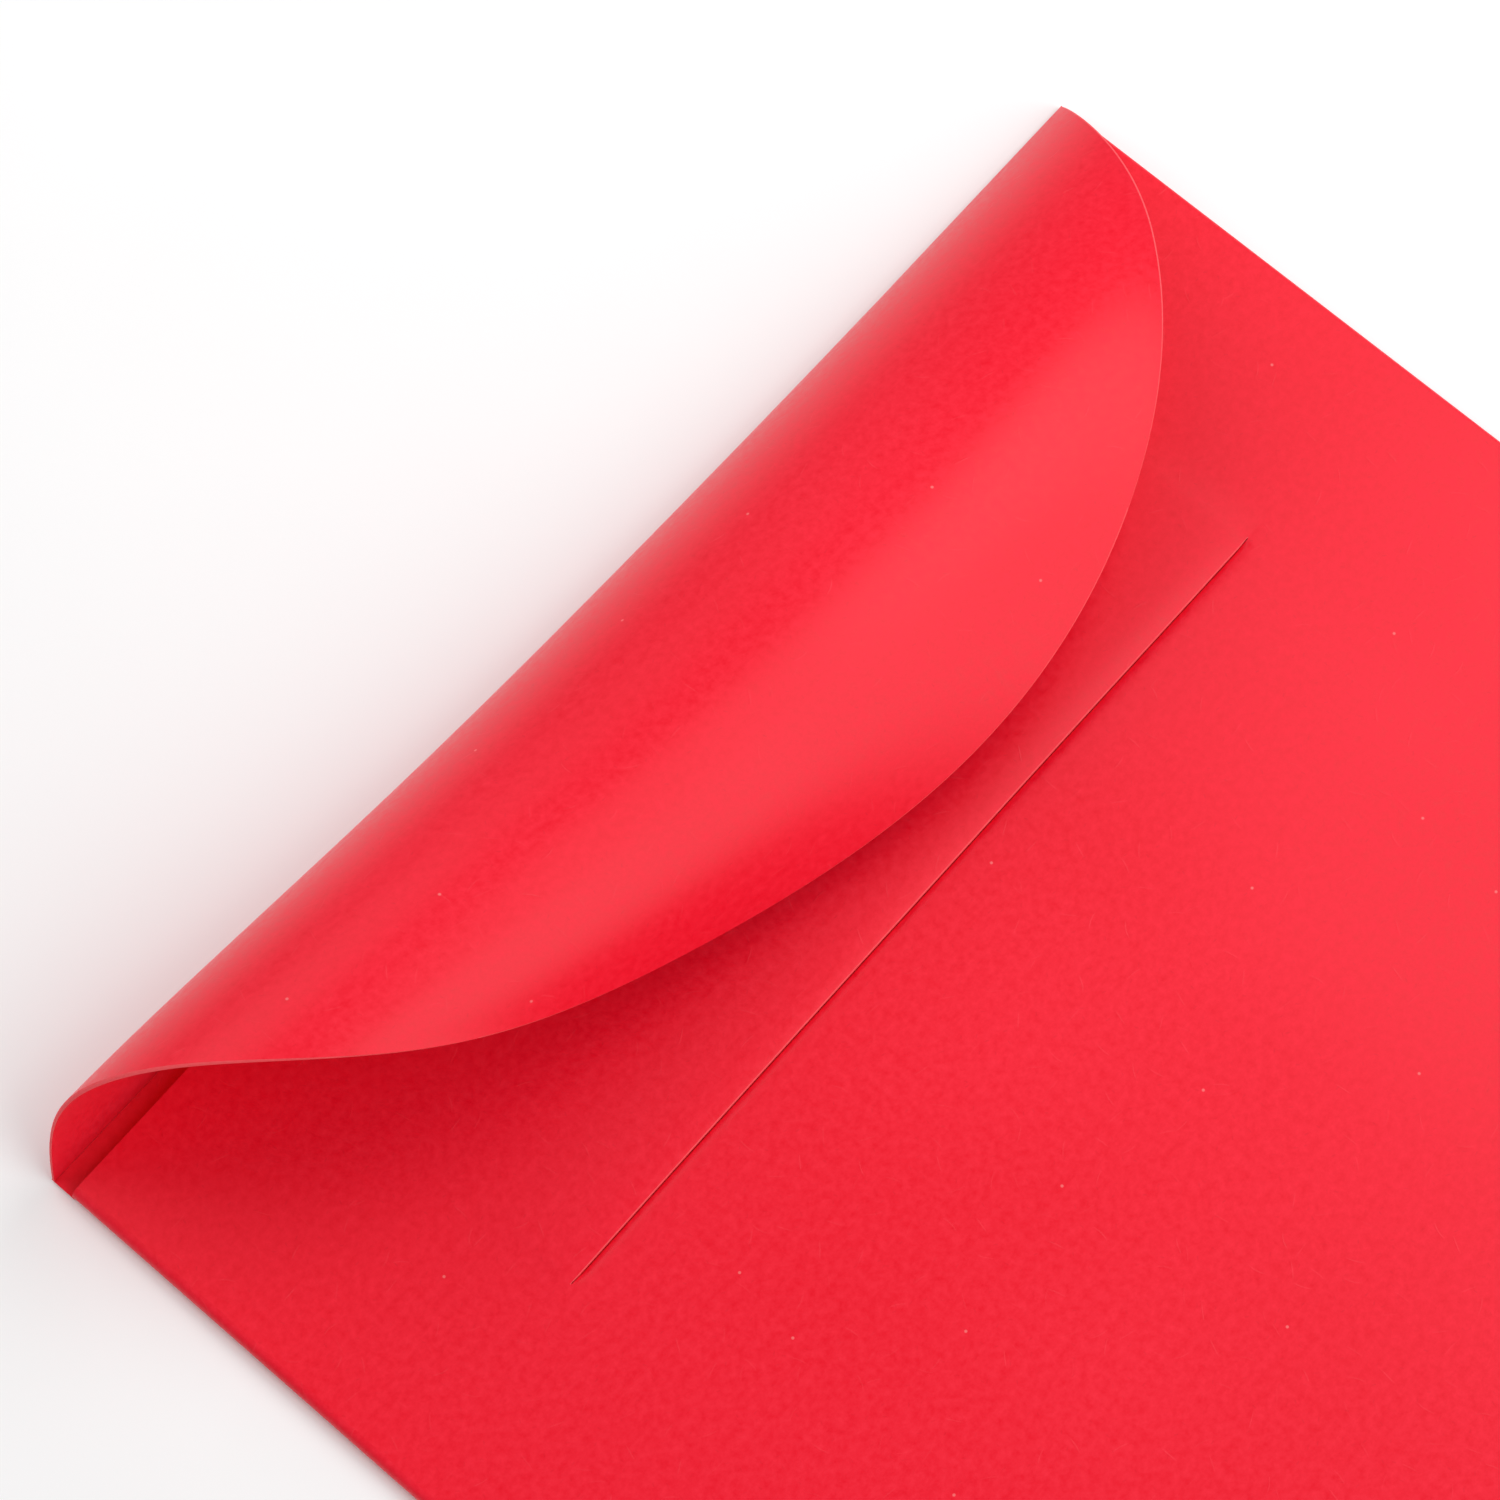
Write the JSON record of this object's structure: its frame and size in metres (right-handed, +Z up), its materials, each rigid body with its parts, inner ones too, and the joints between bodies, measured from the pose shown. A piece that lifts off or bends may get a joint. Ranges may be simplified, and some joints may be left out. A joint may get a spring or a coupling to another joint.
{
  "type": "red envelope",
  "caption": "Flat paper money packet: a glued pocket open at one short end, with a half-oval tongue flap that curls over the mouth towards a straight tuck slit.",
  "frame": {"origin": "centre of the packet's front face, on the surface that it lies on", "axes": "+X across the packet with the glued side tab at +X, +Y along it towards the flap, +Z up out of the back panel with the tuck slit"},
  "size_m": [0.09, 0.1702, 0.0126],
  "materials": {
    "outer_paper": "satin",
    "flap_paper": "satin",
    "tab_paper": "matte",
    "glue": "matte"
  },
  "bodies": {
    "packet": {"front_panel": "outer_paper", "back_panel": "outer_paper", "slit_lip": "outer_paper", "left_shoulder": "outer_paper", "right_shoulder": "outer_paper", "left_spine": "outer_paper", "right_fold": "outer_paper", "bottom_fold": "outer_paper", "side_tab": "tab_paper", "bottom_tab": "tab_paper", "side_glue": "glue", "bottom_glue": "glue"},
    "flap_root": {"flap_root": "flap_paper"},
    "flap_band_2": {"flap_band_2": "flap_paper"},
    "flap_band_3": {"flap_band_3": "flap_paper"},
    "flap_band_4": {"flap_band_4": "flap_paper"},
    "flap_band_5": {"flap_band_5": "flap_paper"},
    "flap_band_6": {"flap_band_6": "flap_paper"},
    "flap_band_7": {"flap_band_7": "flap_paper"},
    "flap_tip": {"flap_tip": "flap_paper"}
  },
  "joints": [
    {"name": "flap_fold", "type": "hinge", "parent": "packet", "child": "flap_root", "pos_m": [0, 0.085, 0.00025], "axis": [-1, 0, 0], "range_deg": [-7, 78]},
    {"name": "flap_curl", "type": "hinge", "parent": "flap_root", "child": "flap_band_2", "pos_m": [0, 0.08386, 0.00422], "axis": [-1, 0, 0], "range_deg": [0, 16]},
    {"name": "flap_curl_2", "type": "hinge", "parent": "flap_band_2", "child": "flap_band_3", "pos_m": [0, 0.08162, 0.00767], "axis": [-1, 0, 0], "range_deg": [0, 16]},
    {"name": "flap_curl_3", "type": "hinge", "parent": "flap_band_3", "child": "flap_band_4", "pos_m": [0, 0.07846, 0.01033], "axis": [-1, 0, 0], "range_deg": [0, 16]},
    {"name": "flap_curl_4", "type": "hinge", "parent": "flap_band_4", "child": "flap_band_5", "pos_m": [0, 0.07466, 0.01194], "axis": [-1, 0, 0], "range_deg": [0, 16]},
    {"name": "flap_curl_5", "type": "hinge", "parent": "flap_band_5", "child": "flap_band_6", "pos_m": [0, 0.07056, 0.01237], "axis": [-1, 0, 0], "range_deg": [0, 16]},
    {"name": "flap_curl_6", "type": "hinge", "parent": "flap_band_6", "child": "flap_band_7", "pos_m": [0, 0.06651, 0.01158], "axis": [-1, 0, 0], "range_deg": [0, 16]},
    {"name": "flap_curl_7", "type": "hinge", "parent": "flap_band_7", "child": "flap_tip", "pos_m": [0, 0.06287, 0.00965], "axis": [-1, 0, 0], "range_deg": [0, 16]}
  ],
  "couplings": [
    {"joint": "flap_curl_2", "follows": "flap_curl", "ratio": 1},
    {"joint": "flap_curl_3", "follows": "flap_curl", "ratio": 1},
    {"joint": "flap_curl_4", "follows": "flap_curl", "ratio": 1},
    {"joint": "flap_curl_5", "follows": "flap_curl", "ratio": 1},
    {"joint": "flap_curl_6", "follows": "flap_curl", "ratio": 1},
    {"joint": "flap_curl_7", "follows": "flap_curl", "ratio": 1}
  ]
}
